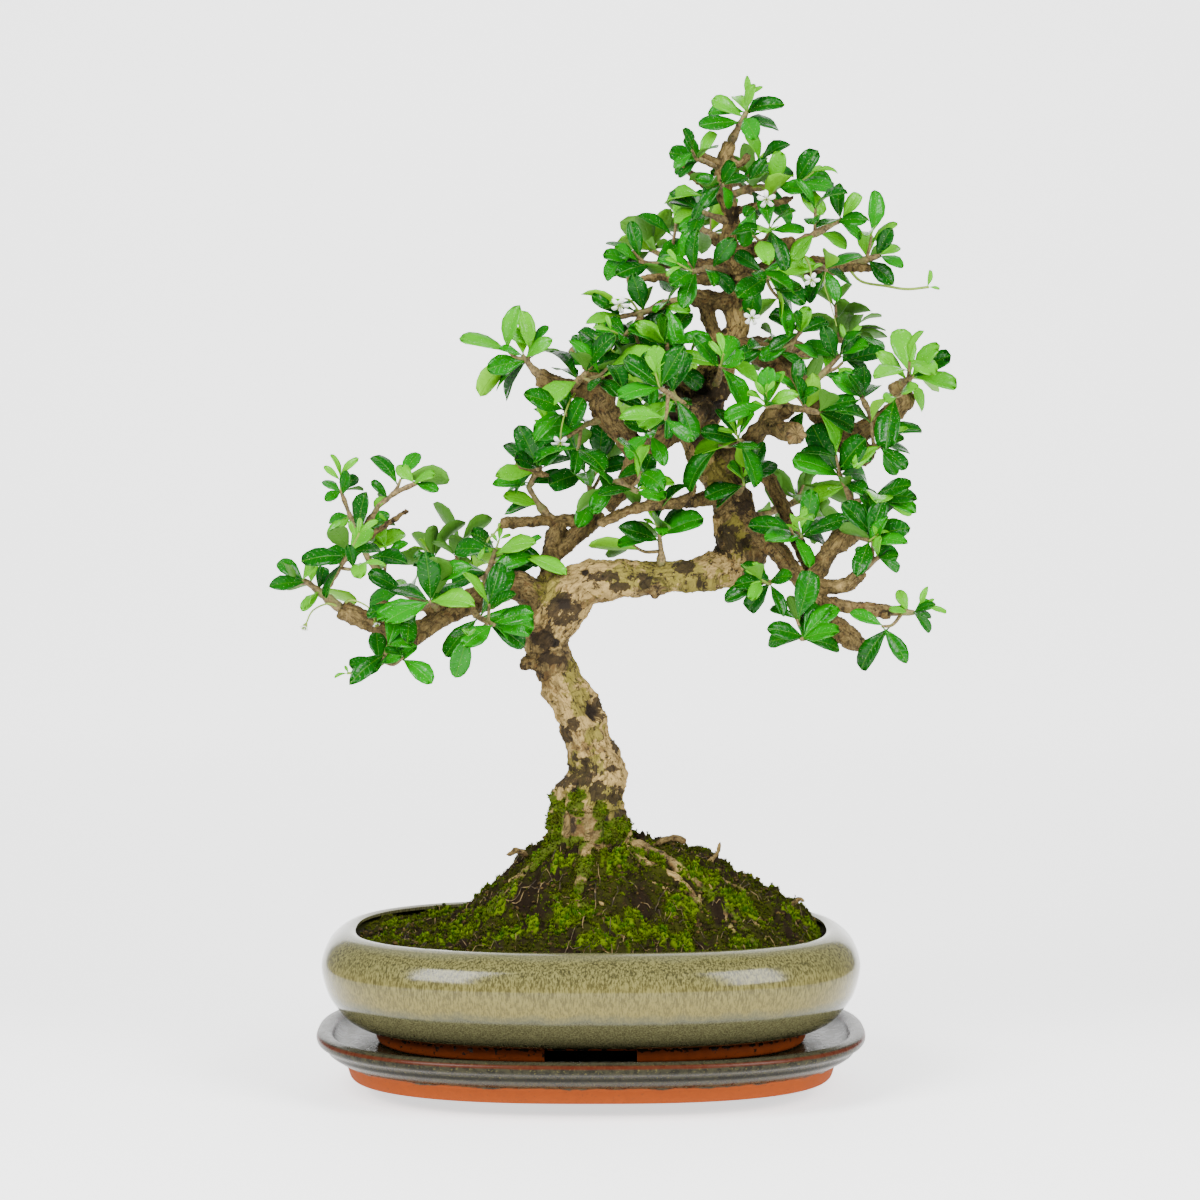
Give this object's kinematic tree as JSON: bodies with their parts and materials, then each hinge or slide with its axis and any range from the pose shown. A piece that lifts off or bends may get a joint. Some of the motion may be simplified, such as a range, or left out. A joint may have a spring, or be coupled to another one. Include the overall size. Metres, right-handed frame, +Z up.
{
  "type": "fukien tea bonsai in a glazed oval pot with a saucer",
  "caption": "Fukien tea bonsai with a bent trunk, an airy crown of small glossy leaves and mossy soil, in an oval glazed pot on its saucer.",
  "frame": {"origin": "middle of the object's box, on the surface that the saucer stands on", "axes": "+Z up the tree, +X to the right of its front along the pot's length, -Y towards who looks at its front"},
  "size_m": [0.369, 0.2266, 0.5488],
  "materials": {
    "saucer_glaze": "gloss",
    "pot_glaze": "gloss",
    "screen_plastic": "matte",
    "soil": "matte",
    "bark": "matte",
    "leaf": "gloss"
  },
  "bodies": {
    "root": {"saucer": "saucer_glaze", "pot": "pot_glaze", "drain_screen_left": "screen_plastic", "drain_screen_right": "screen_plastic", "soil": "soil", "trunk": "bark", "shoot_left_tip": "leaf", "shoot_left_tall": "leaf", "shoot_left_under": "leaf", "shoot_left_mid": "leaf", "shoot_left_inner": "leaf", "shoot_left_rise": "leaf", "shoot_left_far": "leaf", "shoot_shoulder_left": "leaf", "shoot_shoulder_top": "leaf", "shoot_shoulder_front": "leaf", "shoot_mid_left_tip": "leaf", "shoot_mid_left_rise": "leaf", "shoot_mid_left_knot": "leaf", "shoot_mid_left_hang": "leaf", "shoot_mid_left_heart": "leaf", "shoot_burl_left": "leaf", "shoot_burl_high": "leaf", "shoot_burl_front": "leaf", "shoot_burl_face": "leaf", "shoot_centre_low": "leaf", "shoot_centre_front": "leaf", "shoot_centre_right": "leaf", "shoot_second_left": "leaf", "shoot_upper_left": "leaf", "shoot_upper_face": "leaf", "shoot_apex": "leaf", "shoot_apex_left": "leaf", "shoot_apex_front": "leaf", "shoot_apex_far": "leaf", "shoot_neck_left": "leaf", "shoot_upper_right_one": "leaf", "shoot_upper_right_two": "leaf", "shoot_upper_right_in": "leaf", "shoot_upper_right_three": "leaf", "shoot_upper_right_low": "leaf", "shoot_upper_right_mid": "leaf", "shoot_upper_far": "leaf", "shoot_right_tip": "leaf", "shoot_right_elbow": "leaf", "shoot_right_under": "leaf", "shoot_right_high": "leaf", "shoot_right_crest": "leaf", "shoot_right_far": "leaf", "shoot_mid_far": "leaf", "shoot_low_far": "leaf", "shoot_low_centre": "leaf", "shoot_low_inner": "leaf", "shoot_low_hang": "leaf", "shoot_low_tip": "leaf", "shoot_low_end": "leaf", "shoot_low_burl": "leaf", "shoot_low_burl_side": "leaf", "shoot_low_side": "leaf", "shoot_bridge": "leaf"}
  },
  "joints": []
}
